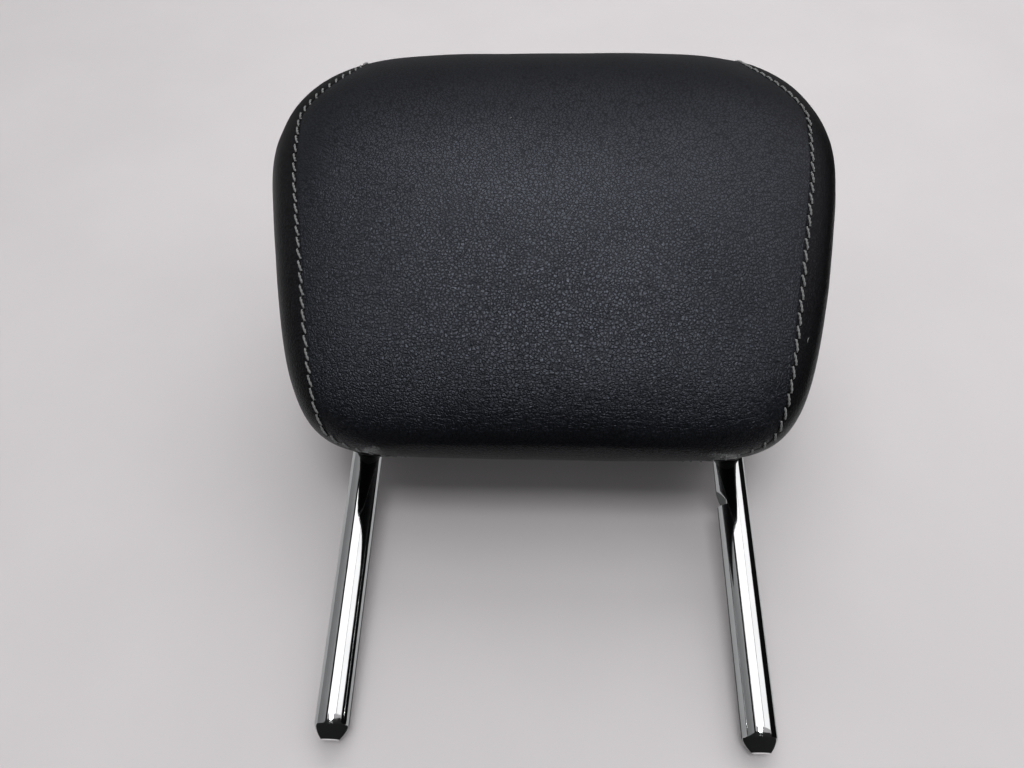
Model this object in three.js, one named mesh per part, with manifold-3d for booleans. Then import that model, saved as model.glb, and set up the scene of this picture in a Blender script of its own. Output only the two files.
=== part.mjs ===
// A car headrest: a leather covered pad on two chromed posts.
// Millimetres. Z is up along the posts, the face looks to -Y and X runs across.
// The origin is midway between the end faces of the two post tips.
import * as THREE from 'three';
import { mergeVertices } from 'three/addons/utils/BufferGeometryUtils.js';
import Module from 'manifold-3d';

// Posts: one bar, bent to a U, whose two legs are the posts
const POST_DIAMETER = 14;
const POST_SIDE_MARGIN = 19;
const CROSSBAR_BELOW_PAD_CENTRE = 29;
const POST_BEND_RADIUS = 28;
const POST_TIP_CHAMFER = 2.4;
const POST_TIP_CHAMFER_LENGTH = 5.4;
const POST_TIP_SHOULDER = 0.4;
const POST_SIDES = 18;

// Height notch, on the inner side of the +X post
const NOTCH_HEIGHT = 101;
const NOTCH_DEPTH = 3.3;
const NOTCH_FLOOR_LENGTH = 2.2;
const NOTCH_RAMP_LENGTH = 5.6;

// Pad: a rounded body whose face leans forward from the posts
const PAD_WIDTH = 258;
const CROWN_NARROWING = 23;
const FOOT_NARROWING = 49;
const PAD_HEIGHT = 188;
const PAD_DEPTH = 112;
const PAD_CENTRE_HEIGHT = 211;
const PAD_CENTRE_FORWARD = 42.5;
const PAD_LEAN = THREE.MathUtils.degToRad(15);
const PAD_NARROWING_START = 28;
const PAD_NARROWING_POWER = 1.3;
const UNDERSIDE_RISE = 56;

// Squareness of the pad's corners: 2 is an ellipse, more is squarer
const SIDE_SQUARENESS_CROWN = 5;
const SIDE_SQUARENESS_FOOT = 8.4;
const PROFILE_SQUARENESS_CROWN = 2.05;
const PROFILE_SQUARENESS_FOOT = 4;

// Cover: a centre panel that wraps the pad front to back, and two side panels
const COVER_THICKNESS = 2.5;
const SIDE_WIDTH_FACE = 19.2;
const SIDE_WIDTH_CROWN = 31.5;
const SIDE_WIDTH_LOWER_EDGE = 14.4;
const SIDE_WIDTH_UNDERSIDE = 47.7;
const SEAM_CROWN_START_SHARE = 0.35;
const SEAM_CROWN_SHARE = 0.42;
const SEAM_NARROWING_START_SHARE = 0.15;
const SEAM_LOWER_EDGE_SHARE = 0.8;
const SEAM_NARROWING_POWER = 1.5;
const SEAM_MOST_SHARE = 0.97;
const SEAM_ROLL_WIDTH = 0.7;
const SEAM_ROLL_DEPTH = 1;
const STITCH_OFFSET = 1.25;
const THREAD_DIAMETER = 0.9;
const THREAD_START = THREE.MathUtils.degToRad(-64);
const THREAD_END = THREE.MathUtils.degToRad(240);

// Carrier: two plastic halves that clamp the crossbar inside the foam
const CARRIER_BEND_MARGIN = 7.5;
const CARRIER_BELOW_BAR = 22;
const CARRIER_ABOVE_BAR = 46;
const CARRIER_FRONT_DEPTH = 30;
const CARRIER_REAR_DEPTH = 12;
const CARRIER_WALL = 2.6;
const CARRIER_RIB_SPACING = 44;
const CARRIER_BOSS_DIAMETER = 8;
const SCREW_DIAMETER = 3.5;
const SCREW_HEAD_DIAMETER = 7;
const SCREW_HEAD_HEIGHT = 2.4;
const SCREW_LENGTH = 22;
const SCREW_TIP_LENGTH = 1.5;
const SCREW_MARGIN = 11;

// Post bezels: plastic rings where the posts enter the underside
const BEZEL_FLANGE_DIAMETER = 25;
const BEZEL_FLANGE_THICKNESS = 2.4;
const BEZEL_SLEEVE_WALL = 1.6;
const BEZEL_SLEEVE_LENGTH = 13;

// Closure: two hooked strips that pull the ends of the centre panel together
const CLOSURE_BACK = 11;
const CLOSURE_SLIT = 2;
const STRIP_SEAM_MARGIN = 4.8;
const STRIP_THICKNESS = 1.5;
const STRIP_HEIGHT = 9;
const STRIP_SETBACK = 5;
const STRIP_OVERLAP = 1.6;

// Clearance between pieces that meet, and how far a cutting tool reaches past what it cuts
const FIT_GAP = 0.3;
const CUT_REACH = 1;

// Facets
const AROUND_STEPS = 52;
const PANEL_STEPS = 10;
const SIDE_RINGS = 5;
const BEND_STEPS = 6;
const THREAD_SIDES = 6;
const THREAD_STEPS = 54;
const ROUND_SIDES = 20;
const SMALL_SIDES = 12;
const SMALL_RADIUS = 5;

const QUARTER_TURN = Math.PI / 2;
const HALVINGS = 40;
const padFootWidth = PAD_WIDTH - FOOT_NARROWING;
const postRadius = POST_DIAMETER / 2;
const legX = padFootWidth / 2 - POST_SIDE_MARGIN;
const crossbarHeight = PAD_CENTRE_HEIGHT - CROSSBAR_BELOW_PAD_CENTRE;
const carrierWidth = 2 * (legX - POST_BEND_RADIUS - CARRIER_BEND_MARGIN);
const padCentre = new THREE.Vector3(0, -PAD_CENTRE_FORWARD, PAD_CENTRE_HEIGHT);

const manifold = await Module();
manifold.setup();

// Colours and finishes
const chrome = new THREE.MeshStandardMaterial({ color: 0xd9dcde, roughness: 0.08, metalness: 1 });
const faceLeather = new THREE.MeshStandardMaterial({ color: 0x2b2d31, roughness: 0.55, metalness: 0 });
const sideLeather = new THREE.MeshStandardMaterial({ color: 0x27292c, roughness: 0.6, metalness: 0 });
const threadGrey = new THREE.MeshStandardMaterial({ color: 0x9b9da0, roughness: 0.8, metalness: 0 });
const foamGrey = new THREE.MeshStandardMaterial({ color: 0x6c6c68, roughness: 0.95, metalness: 0 });
const carrierBlack = new THREE.MeshStandardMaterial({ color: 0x1d1e20, roughness: 0.5, metalness: 0 });
const trimBlack = new THREE.MeshStandardMaterial({ color: 0x141516, roughness: 0.45, metalness: 0 });
const screwSteel = new THREE.MeshStandardMaterial({ color: 0x9a9da1, roughness: 0.35, metalness: 1 });

// Closed meshes from loops of points

function signedVolume(points, triangles) {
  let volume = 0;
  for (let i = 0; i < triangles.length; i += 3) {
    const [a, b, c] = [points[triangles[i]], points[triangles[i + 1]], points[triangles[i + 2]]];
    volume += a.dot(b.clone().cross(c)) / 6;
  }
  return volume;
}

function closedMesh(points, triangles) {
  const ordered = signedVolume(points, triangles) < 0 ? triangles.slice().reverse() : triangles;
  const geometry = new THREE.BufferGeometry().setFromPoints(points);
  geometry.setIndex(ordered);
  return geometry;
}

// Joins equal loops in a row. A row that is not joined to its start ends in a fan round each end point.
// Each four-sided field is folded the way that bulges away from the pad's middle,
// so that nested skins match.
function loft(loops, ends) {
  const count = loops[0].length;
  const points = loops.flat();
  const triangles = [];
  const between = (i, j) => points[i].clone().add(points[j]).multiplyScalar(0.5);
  const bulge = (i, j) => between(i, j).distanceTo(padCentre);
  const strips = ends ? loops.length - 1 : loops.length;
  for (let i = 0; i < strips; i += 1) {
    const here = i * count;
    const next = ((i + 1) % loops.length) * count;
    for (let j = 0; j < count; j += 1) {
      const k = (j + 1) % count;
      const [a, b, c, d] = [here + j, next + j, next + k, here + k];
      if (bulge(a, c) > bulge(b, d)) triangles.push(a, b, c, a, c, d);
      else triangles.push(a, b, d, b, c, d);
    }
  }
  if (ends) {
    const last = (loops.length - 1) * count;
    points.push(ends[0], ends[1]);
    for (let j = 0; j < count; j += 1) {
      const k = (j + 1) % count;
      triangles.push(points.length - 2, j, k, points.length - 1, last + k, last + j);
    }
  }
  return closedMesh(points, triangles);
}

function toSolid(geometry) {
  const bare = geometry.clone();
  bare.deleteAttribute('normal');
  bare.deleteAttribute('uv');
  const merged = mergeVertices(bare);
  return new manifold.Manifold(new manifold.Mesh({
    numProp: 3,
    vertProperties: new Float32Array(merged.attributes.position.array),
    triVerts: new Uint32Array(merged.index.array),
  }));
}

function toGeometry(solid) {
  const mesh = solid.getMesh();
  const geometry = new THREE.BufferGeometry();
  geometry.setAttribute('position', new THREE.BufferAttribute(mesh.vertProperties, 3));
  geometry.setIndex(new THREE.BufferAttribute(mesh.triVerts, 1));
  return geometry;
}

function common(body, other) {
  return body.intersect(other);
}

function cut(body, ...tools) {
  return tools.reduce((rest, tool) => rest.subtract(tool), body);
}

function join(body, ...others) {
  return others.reduce((whole, other) => whole.add(other), body);
}

function block(low, high) {
  const size = high.clone().sub(low);
  const middle = high.clone().add(low).multiplyScalar(0.5);
  return new THREE.BoxGeometry(size.x, size.y, size.z).translate(middle.x, middle.y, middle.z);
}

// A cylinder on an axis that is one of X, Y and Z, from one point along it
function rod(start, axis, length, radius) {
  const sides = radius < SMALL_RADIUS ? SMALL_SIDES : ROUND_SIDES;
  const geometry = new THREE.CylinderGeometry(radius, radius, length, sides);
  geometry.translate(0, length / 2, 0);
  if (axis === 'x') geometry.rotateZ(-QUARTER_TURN);
  if (axis === 'z') geometry.rotateX(QUARTER_TURN);
  return toSolid(geometry.translate(start.x, start.y, start.z));
}

// Pad surface

function lerp(from, to, share) {
  return from + (to - from) * share;
}

function smooth(value) {
  const share = THREE.MathUtils.clamp(value, 0, 1);
  return share * share * (3 - 2 * share);
}

// A point on a circle that is squared off: the sum of both coordinates to the power of squareness is 1
function squareCircle(angle, squareness) {
  const c = Math.cos(angle);
  const s = Math.sin(angle);
  const radius = (Math.abs(c) ** squareness + Math.abs(s) ** squareness) ** (-1 / squareness);
  return [radius * c, radius * s];
}

function crownShare(around) {
  return smooth(0.5 + 0.5 * Math.sin(around));
}

function sideSquareness(around) {
  return lerp(SIDE_SQUARENESS_FOOT, SIDE_SQUARENESS_CROWN, crownShare(around));
}

function profile(around) {
  return squareCircle(around, lerp(PROFILE_SQUARENESS_FOOT, PROFILE_SQUARENESS_CROWN, crownShare(around)));
}

// Half the pad's width at a height given as a share of its half height, from -1 to 1
function halfWidth(level) {
  const start = PAD_NARROWING_START / (PAD_HEIGHT / 2);
  const low = Math.max(0, (start - level) / (1 + start));
  const high = Math.max(0, level);
  const footLoss = FOOT_NARROWING / 2 * low ** PAD_NARROWING_POWER;
  const crownLoss = CROWN_NARROWING / 2 * high ** 2;
  return PAD_WIDTH / 2 - footLoss - crownLoss;
}

// The pad's surface: around runs from the face (0) over the crown, the back and the underside,
// across runs from the left side (-90 degrees) to the right side, and inset goes inwards.
function padPoint(across, around, inset) {
  const [keep, sideways] = squareCircle(across, sideSquareness(around));
  const [forward, upward] = profile(around);
  const level = keep * upward;
  const x = sideways * (halfWidth(level) - inset);
  const ahead = keep * forward * (PAD_DEPTH / 2 - inset);
  const above = level * (PAD_HEIGHT / 2 - inset);
  const rise = UNDERSIDE_RISE / 2 * keep * forward * Math.max(0, -level) ** 2;
  return new THREE.Vector3(x, -PAD_CENTRE_FORWARD - ahead - above * Math.tan(PAD_LEAN),
    PAD_CENTRE_HEIGHT + above - rise);
}

// Half the width of the centre panel, from seam to middle, where it is set
const seamOnFace = PAD_WIDTH / 2 - SIDE_WIDTH_FACE;
const seamOnCrown = (PAD_WIDTH - CROWN_NARROWING) / 2 - SIDE_WIDTH_CROWN;
const seamAtLowerEdge = padFootWidth / 2 - SIDE_WIDTH_LOWER_EDGE;
const seamOnUnderside = padFootWidth / 2 - SIDE_WIDTH_UNDERSIDE;

function seamHalfWidth(around) {
  const height = Math.sin(around);
  const toCrown = smooth((height - SEAM_CROWN_START_SHARE) / SEAM_CROWN_SHARE);
  if (height >= SEAM_NARROWING_START_SHARE) return lerp(seamOnFace, seamOnCrown, toCrown);
  const drop = SEAM_NARROWING_START_SHARE - height;
  const wholeDrop = SEAM_NARROWING_START_SHARE + SEAM_LOWER_EDGE_SHARE;
  const toEdge = Math.min(1, drop / wholeDrop) ** SEAM_NARROWING_POWER;
  const below = smooth((-height - SEAM_LOWER_EDGE_SHARE) / (1 - SEAM_LOWER_EDGE_SHARE));
  return lerp(lerp(seamOnFace, seamAtLowerEdge, toEdge), seamOnUnderside, below);
}

// The across angle of the seam, or of a line beside it at an offset towards the side
function seamAngle(around, offset) {
  const squareness = sideSquareness(around);
  const widest = halfWidth(profile(around)[1]);
  const share = Math.min((seamHalfWidth(around) + offset) / widest, SEAM_MOST_SHARE);
  return Math.atan2(share, (1 - share ** squareness) ** (1 / squareness));
}

function aroundAngle(index) {
  return index / AROUND_STEPS * 2 * Math.PI;
}

function aroundLoop(angleAt, inset) {
  const angles = Array.from({ length: AROUND_STEPS }, (_, i) => aroundAngle(i));
  return angles.map((around) => padPoint(angleAt(around), around, inset));
}

// Lines round the pad that the foam and the cover share, as shares of the way across the centre panel
// and out to each side's middle
const panelShares = Array.from({ length: PANEL_STEPS + 1 }, (_, i) => i / PANEL_STEPS * 2 - 1);
const sideShares = Array.from({ length: SIDE_RINGS }, (_, i) => i / SIDE_RINGS);

function panelLine(share) {
  return (around) => share * seamAngle(around, -SEAM_ROLL_WIDTH);
}

function sideLine(side, share) {
  return (around) => side * lerp(seamAngle(around, SEAM_ROLL_WIDTH), QUARTER_TURN, share);
}

// The underside's height at a place, found by halving the range of both angles
function undersideHeight(x, y, inset = 0) {
  const halve = (low, high, tooHigh) => {
    let [a, b] = [low, high];
    for (let i = 0; i < HALVINGS; i += 1) {
      const middle = (a + b) / 2;
      if (tooHigh(middle)) b = middle;
      else a = middle;
    }
    return (a + b) / 2;
  };
  const acrossAt = (around) => halve(0, QUARTER_TURN, (across) => padPoint(across, around, inset).x > x);
  const tooFarForward = (around) => padPoint(acrossAt(around), around, inset).y < y;
  const around = halve(-1.5 * QUARTER_TURN, -0.5 * QUARTER_TURN, tooFarForward);
  return padPoint(acrossAt(around), around, inset).z;
}

// The whole pad as one solid, with its surface moved inwards
function padBody(inset) {
  const loops = [
    ...sideShares.map((share) => aroundLoop(sideLine(-1, share), inset)).reverse(),
    ...panelShares.map((share) => aroundLoop(panelLine(share), inset)),
    ...sideShares.map((share) => aroundLoop(sideLine(1, share), inset)),
  ];
  return toSolid(loft(loops, [padPoint(-QUARTER_TURN, 0, inset), padPoint(QUARTER_TURN, 0, inset)]));
}

// Post frame

// A bar along the U, as round loops at its stations, with chamfered tips
function postBar(radius, tipChamfer) {
  const stations = [];
  const station = (x, z, turn, size) => stations.push({ x, z, turn, size });
  station(-legX, 0, 0, radius - tipChamfer);
  station(-legX, POST_TIP_CHAMFER_LENGTH * POST_TIP_SHOULDER, 0, radius - tipChamfer * POST_TIP_SHOULDER);
  station(-legX, POST_TIP_CHAMFER_LENGTH, 0, radius);
  const bendHeight = crossbarHeight - POST_BEND_RADIUS;
  for (let i = 0; i <= BEND_STEPS; i += 1) {
    const turn = i / BEND_STEPS * QUARTER_TURN;
    const x = -legX + POST_BEND_RADIUS * (1 - Math.cos(turn));
    station(x, bendHeight + POST_BEND_RADIUS * Math.sin(turn), turn, radius);
  }
  const half = stations.slice();
  for (const { x, z, turn, size } of half.reverse()) station(-x, z, Math.PI - turn, size);
  const loops = stations.map(({ x, z, turn, size }) => Array.from({ length: POST_SIDES }, (_, i) => {
    const angle = i / POST_SIDES * 2 * Math.PI;
    const outwards = new THREE.Vector3(Math.cos(turn), 0, -Math.sin(turn));
    return new THREE.Vector3(x, size * Math.sin(angle), z)
      .addScaledVector(outwards, size * Math.cos(angle));
  }));
  return loft(loops, [new THREE.Vector3(-legX, 0, 0), new THREE.Vector3(legX, 0, 0)]);
}

function notchCutter() {
  const surface = legX - postRadius;
  const outside = surface - CUT_REACH;
  const slant = NOTCH_DEPTH / NOTCH_RAMP_LENGTH;
  const outline = new THREE.Shape();
  outline.moveTo(outside, NOTCH_HEIGHT);
  outline.lineTo(surface + NOTCH_DEPTH, NOTCH_HEIGHT);
  outline.lineTo(surface + NOTCH_DEPTH, NOTCH_HEIGHT + NOTCH_FLOOR_LENGTH);
  outline.lineTo(outside, NOTCH_HEIGHT + NOTCH_FLOOR_LENGTH + (surface + NOTCH_DEPTH - outside) / slant);
  const depth = POST_DIAMETER + 2 * CUT_REACH;
  const geometry = new THREE.ExtrudeGeometry(outline, { depth, bevelEnabled: false });
  geometry.rotateX(QUARTER_TURN).translate(0, postRadius + CUT_REACH, 0);
  return toSolid(geometry);
}

function postFrame() {
  return toGeometry(cut(toSolid(postBar(postRadius, POST_TIP_CHAMFER)), notchCutter()));
}

// Carrier round the crossbar, in its own frame: X lies along the crossbar
// and Z leans forward with the pad

const carrier = new THREE.Group();
carrier.position.z = crossbarHeight;
carrier.rotation.x = PAD_LEAN;
carrier.updateMatrix();

const screwX = carrierWidth / 2 - SCREW_MARGIN;
const screwHeights = [SCREW_MARGIN - CARRIER_BELOW_BAR, CARRIER_ABOVE_BAR - SCREW_MARGIN];
const screwPlaces = screwHeights.flatMap((z) => [-1, 1].map((side) => new THREE.Vector2(side * screwX, z)));
const screwSeat = CARRIER_REAR_DEPTH - SCREW_HEAD_HEIGHT;

function carrierEnvelope(gap) {
  const low = new THREE.Vector3(-carrierWidth / 2, -CARRIER_FRONT_DEPTH, -CARRIER_BELOW_BAR);
  const high = new THREE.Vector3(carrierWidth / 2, CARRIER_REAR_DEPTH, CARRIER_ABOVE_BAR);
  return toSolid(block(low.subScalar(gap), high.addScalar(gap)).applyMatrix4(carrier.matrix));
}

// One half is a tray with two saddle ribs and four bosses, open towards the crossbar.
// It reaches from the parting plane to its depth, which is negative for the front half.
function carrierHalf(depth) {
  const outwards = Math.sign(depth);
  const parting = outwards * FIT_GAP / 2;
  const wall = outwards * CARRIER_WALL;
  const span = (reach, from, to, low, high, middle = 0) => {
    const lowest = new THREE.Vector3(middle - reach, Math.min(from, to), low);
    const highest = new THREE.Vector3(middle + reach, Math.max(from, to), high);
    return toSolid(block(lowest, highest));
  };
  const half = carrierWidth / 2;
  const sunk = CARRIER_WALL / 2;
  const shell = span(half, parting, depth, -CARRIER_BELOW_BAR, CARRIER_ABOVE_BAR);
  const hollow = span(half - CARRIER_WALL, -wall, depth - wall, CARRIER_WALL - CARRIER_BELOW_BAR,
    CARRIER_ABOVE_BAR - CARRIER_WALL);
  const ribs = [-1, 1].map((side) => span(CARRIER_WALL / 2, parting, depth - wall / 2,
    sunk - CARRIER_BELOW_BAR, CARRIER_ABOVE_BAR - sunk, side * CARRIER_RIB_SPACING / 2));
  const upright = (place, from, to, radius) => {
    const start = new THREE.Vector3(place.x, Math.min(from, to), place.y);
    return rod(start, 'y', Math.abs(to - from), radius);
  };
  const bossRadius = CARRIER_BOSS_DIAMETER / 2;
  const bosses = screwPlaces.map((place) => upright(place, parting, depth - wall / 2, bossRadius));
  const channelStart = new THREE.Vector3(-half - CUT_REACH, 0, 0);
  const channel = rod(channelStart, 'x', carrierWidth + 2 * CUT_REACH, postRadius + FIT_GAP);
  const holes = screwPlaces.map((place) => upright(place, screwSeat - SCREW_LENGTH - FIT_GAP, screwSeat,
    SCREW_DIAMETER / 2 + FIT_GAP));
  const recesses = screwPlaces.map((place) => upright(place, screwSeat - FIT_GAP,
    CARRIER_REAR_DEPTH + CUT_REACH, SCREW_HEAD_DIAMETER / 2 + FIT_GAP));
  return toGeometry(cut(join(cut(shell, hollow), ...ribs, ...bosses), channel, ...holes, ...recesses));
}

// A pan head screw on the Y axis: the shank points up from the head's seat at the origin
function carrierScrew() {
  const outline = [
    [0, -SCREW_HEAD_HEIGHT],
    [SCREW_HEAD_DIAMETER * 0.3, -SCREW_HEAD_HEIGHT],
    [SCREW_HEAD_DIAMETER / 2, -SCREW_HEAD_HEIGHT * 0.6],
    [SCREW_HEAD_DIAMETER / 2, 0],
    [SCREW_DIAMETER / 2, 0],
    [SCREW_DIAMETER / 2, SCREW_LENGTH - SCREW_TIP_LENGTH],
    [0, SCREW_LENGTH],
  ];
  const points = outline.map(([radius, along]) => new THREE.Vector2(radius, along));
  return new THREE.LatheGeometry(points, SMALL_SIDES);
}

// Foam

function foam() {
  const sleeves = [-1, 1].map((side) => rod(new THREE.Vector3(side * legX, 0, 0), 'z',
    undersideHeight(legX, 0) + BEZEL_SLEEVE_LENGTH + FIT_GAP, bezelSleeveRadius + FIT_GAP));
  const barRoom = toSolid(postBar(postRadius + FIT_GAP, 0));
  return toGeometry(cut(padBody(COVER_THICKNESS + FIT_GAP), carrierEnvelope(FIT_GAP), barRoom, ...sleeves,
    closureGroove()));
}

// Cover

// The panel's skin rolls down into the seam, which ends a little inside the outer face
function centrePanel() {
  const loops = Array.from({ length: AROUND_STEPS }, (_, i) => {
    const around = aroundAngle(i);
    const edge = seamAngle(around, -FIT_GAP / 2);
    const row = (inset) => panelShares.map((share) => padPoint(panelLine(share)(around), around, inset));
    const outer = row(0);
    const inner = row(COVER_THICKNESS).reverse();
    const [rightRoll, rightEnd, leftRoll, leftEnd] = [1, -1].flatMap((side) => [
      padPoint(side * edge, around, SEAM_ROLL_DEPTH), padPoint(side * edge, around, COVER_THICKNESS)]);
    return [...outer, rightRoll, rightEnd, ...inner, leftEnd, leftRoll];
  });
  return toGeometry(cut(toSolid(loft(loops, null)), closureSlit()));
}

function sidePanel(side) {
  const edge = (around) => side * seamAngle(around, FIT_GAP / 2);
  const outer = sideShares.map((share) => aroundLoop(sideLine(side, share), 0)).reverse();
  const inner = sideShares.map((share) => aroundLoop(sideLine(side, share), COVER_THICKNESS));
  const loops = [...outer, aroundLoop(edge, SEAM_ROLL_DEPTH), aroundLoop(edge, COVER_THICKNESS), ...inner];
  const ends = [padPoint(side * QUARTER_TURN, 0, 0), padPoint(side * QUARTER_TURN, 0, COVER_THICKNESS)];
  const holeRadius = bezelSleeveRadius + FIT_GAP;
  const hole = rod(new THREE.Vector3(side * legX, 0, 0), 'z', PAD_CENTRE_HEIGHT, holeRadius);
  return toGeometry(cut(toSolid(loft(loops, ends)), hole));
}

// The decorative thread lies on the side panel beside the seam
function topstitch(side) {
  const lift = -THREAD_DIAMETER / 2 - FIT_GAP;
  const middles = Array.from({ length: THREAD_STEPS + 1 }, (_, i) => {
    const around = lerp(THREAD_START, THREAD_END, i / THREAD_STEPS);
    return padPoint(side * seamAngle(around, STITCH_OFFSET), around, lift);
  });
  const loops = middles.map((middle, i) => {
    const before = middles[Math.max(i - 1, 0)];
    const after = middles[Math.min(i + 1, THREAD_STEPS)];
    const heading = after.clone().sub(before).normalize();
    const flat = new THREE.Vector3(1, 0, 0).cross(heading).normalize();
    const sideways = heading.clone().cross(flat);
    return Array.from({ length: THREAD_SIDES }, (_, j) => {
      const angle = j / THREAD_SIDES * 2 * Math.PI;
      return middle.clone().addScaledVector(flat, THREAD_DIAMETER / 2 * Math.sin(angle))
        .addScaledVector(sideways, THREAD_DIAMETER / 2 * Math.cos(angle));
    });
  });
  return loft(loops, [middles[0], middles[THREAD_STEPS]]);
}

// Bezels

const bezelSleeveRadius = postRadius + FIT_GAP + BEZEL_SLEEVE_WALL;

// A flange that follows the form of the underside, and a sleeve that stands up along the post
function postBezel(side) {
  const middle = (z) => new THREE.Vector3(side * legX, 0, z);
  const skin = cut(padBody(-FIT_GAP - BEZEL_FLANGE_THICKNESS), padBody(-FIT_GAP));
  const underside = undersideHeight(legX, 0);
  const flangeRadius = BEZEL_FLANGE_DIAMETER / 2;
  const flange = common(skin, rod(middle(0), 'z', underside + flangeRadius, flangeRadius));
  const sleeveStart = middle(underside - BEZEL_FLANGE_THICKNESS);
  const sleeveLength = BEZEL_FLANGE_THICKNESS + BEZEL_SLEEVE_LENGTH;
  const sleeve = rod(sleeveStart, 'z', sleeveLength, bezelSleeveRadius);
  const bore = rod(middle(0), 'z', PAD_CENTRE_HEIGHT, postRadius + FIT_GAP);
  return toGeometry(cut(join(flange, sleeve), bore));
}

// Closure on the underside

const stripLength = 2 * (seamOnUnderside - STRIP_SEAM_MARGIN);

// The closure's own frame lies on the inner face of the cover, square to it
function placedAtClosure(geometry) {
  const places = [CLOSURE_BACK - STRIP_SETBACK, CLOSURE_BACK + STRIP_SETBACK];
  const [front, back] = places.map((y) => undersideHeight(0, y, COVER_THICKNESS));
  const slope = Math.atan2(back - front, 2 * STRIP_SETBACK);
  return geometry.rotateX(slope).translate(0, CLOSURE_BACK, (front + back) / 2);
}

function closureSlit() {
  const slit = new THREE.BoxGeometry(stripLength, CLOSURE_SLIT, COVER_THICKNESS * 4);
  return toSolid(placedAtClosure(slit));
}

function closureGroove() {
  const groove = new THREE.BoxGeometry(stripLength + 2 * FIT_GAP, 2 * (STRIP_SETBACK + FIT_GAP),
    2 * (STRIP_HEIGHT + 2 * FIT_GAP));
  return toSolid(placedAtClosure(groove));
}

// A strip has an L section. The hook of the front one passes under that of the rear one.
function closureStrip(direction) {
  const top = direction > 0 ? STRIP_HEIGHT : STRIP_HEIGHT - STRIP_THICKNESS - FIT_GAP;
  const reach = STRIP_SETBACK + STRIP_OVERLAP;
  const outline = new THREE.Shape();
  outline.moveTo(0, 0);
  outline.lineTo(STRIP_THICKNESS, 0);
  outline.lineTo(STRIP_THICKNESS, top - STRIP_THICKNESS);
  outline.lineTo(reach, top - STRIP_THICKNESS);
  outline.lineTo(reach, top);
  outline.lineTo(0, top);
  const geometry = new THREE.ExtrudeGeometry(outline, { depth: stripLength, bevelEnabled: false });
  geometry.rotateX(QUARTER_TURN).rotateZ(QUARTER_TURN);
  geometry.translate(-stripLength / 2, -STRIP_SETBACK, FIT_GAP);
  if (direction > 0) geometry.rotateZ(Math.PI);
  return placedAtClosure(geometry);
}

// The whole headrest

const headrest = new THREE.Group();
headrest.add(carrier);

function add(parent, name, geometry, material) {
  const mesh = new THREE.Mesh(geometry, material);
  mesh.name = name;
  parent.add(mesh);
  return mesh;
}

add(headrest, 'post_frame', postFrame(), chrome);
add(carrier, 'carrier_front_half', carrierHalf(-CARRIER_FRONT_DEPTH), carrierBlack);
add(carrier, 'carrier_rear_half', carrierHalf(CARRIER_REAR_DEPTH), carrierBlack);
screwPlaces.forEach((place, index) => {
  const screw = add(carrier, `carrier_screw_${index + 1}`, carrierScrew(), screwSteel);
  screw.position.set(place.x, screwSeat, place.y);
  screw.rotation.x = Math.PI;
});
add(headrest, 'foam_core', foam(), foamGrey);
add(headrest, 'cover_centre_panel', centrePanel(), faceLeather);
for (const [word, side] of [['left', -1], ['right', 1]]) {
  add(headrest, `cover_side_panel_${word}`, sidePanel(side), sideLeather);
  add(headrest, `topstitch_${word}`, topstitch(side), threadGrey);
  add(headrest, `post_bezel_${word}`, postBezel(side), trimBlack);
}
add(headrest, 'closure_strip_front', closureStrip(-1), trimBlack);
add(headrest, 'closure_strip_rear', closureStrip(1), trimBlack);

export default headrest;
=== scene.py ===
# A leather covered car headrest on two chromed posts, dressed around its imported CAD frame.
# Metres. Z is up along the posts, the face looks to -Y and X runs across.
import math

import bmesh
import bpy
import numpy as np
from mathutils import Matrix, Vector
from mathutils.bvhtree import BVHTree


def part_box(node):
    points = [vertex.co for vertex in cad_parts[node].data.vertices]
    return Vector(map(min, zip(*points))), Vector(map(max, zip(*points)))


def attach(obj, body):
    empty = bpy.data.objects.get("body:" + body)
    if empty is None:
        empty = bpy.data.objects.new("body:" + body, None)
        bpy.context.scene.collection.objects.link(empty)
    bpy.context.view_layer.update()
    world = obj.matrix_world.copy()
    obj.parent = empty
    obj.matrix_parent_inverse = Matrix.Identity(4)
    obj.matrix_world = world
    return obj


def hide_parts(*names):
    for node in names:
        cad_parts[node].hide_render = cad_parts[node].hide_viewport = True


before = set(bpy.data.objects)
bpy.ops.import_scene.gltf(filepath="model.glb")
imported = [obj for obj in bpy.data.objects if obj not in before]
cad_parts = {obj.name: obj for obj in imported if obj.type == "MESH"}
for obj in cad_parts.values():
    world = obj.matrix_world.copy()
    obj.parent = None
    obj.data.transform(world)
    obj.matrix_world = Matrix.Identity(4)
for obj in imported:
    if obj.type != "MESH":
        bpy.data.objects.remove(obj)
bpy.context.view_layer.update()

MM = 0.001

# Camera, as the photograph was taken: from just under the post tips, looking up at the face
CAMERA_PLACE = Vector((-0.97, -336.7, -23.3)) * MM
CAMERA_PITCH = math.radians(29.12)
CAMERA_YAW = math.radians(-2.80)
CAMERA_ROLL = math.radians(2.03)
CAMERA_LENS = 27.03
SENSOR_WIDTH = 36

# Posts
POST_RADIUS = 7 * MM
POST_X = 85.5 * MM
CROSSBAR_HEIGHT = 182 * MM
BEND_RADIUS = 28 * MM
TIP_INSET = 3.3 * MM
TIP_LENGTH = 5.6 * MM
TIP_POWER = 1.5
NOTCH_HEIGHT = 101 * MM
NOTCH_DEPTH = 2.8 * MM
NOTCH_FLOOR = 2.2 * MM
NOTCH_RAMP = 5.6 * MM
POST_SIDES = 72

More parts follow.
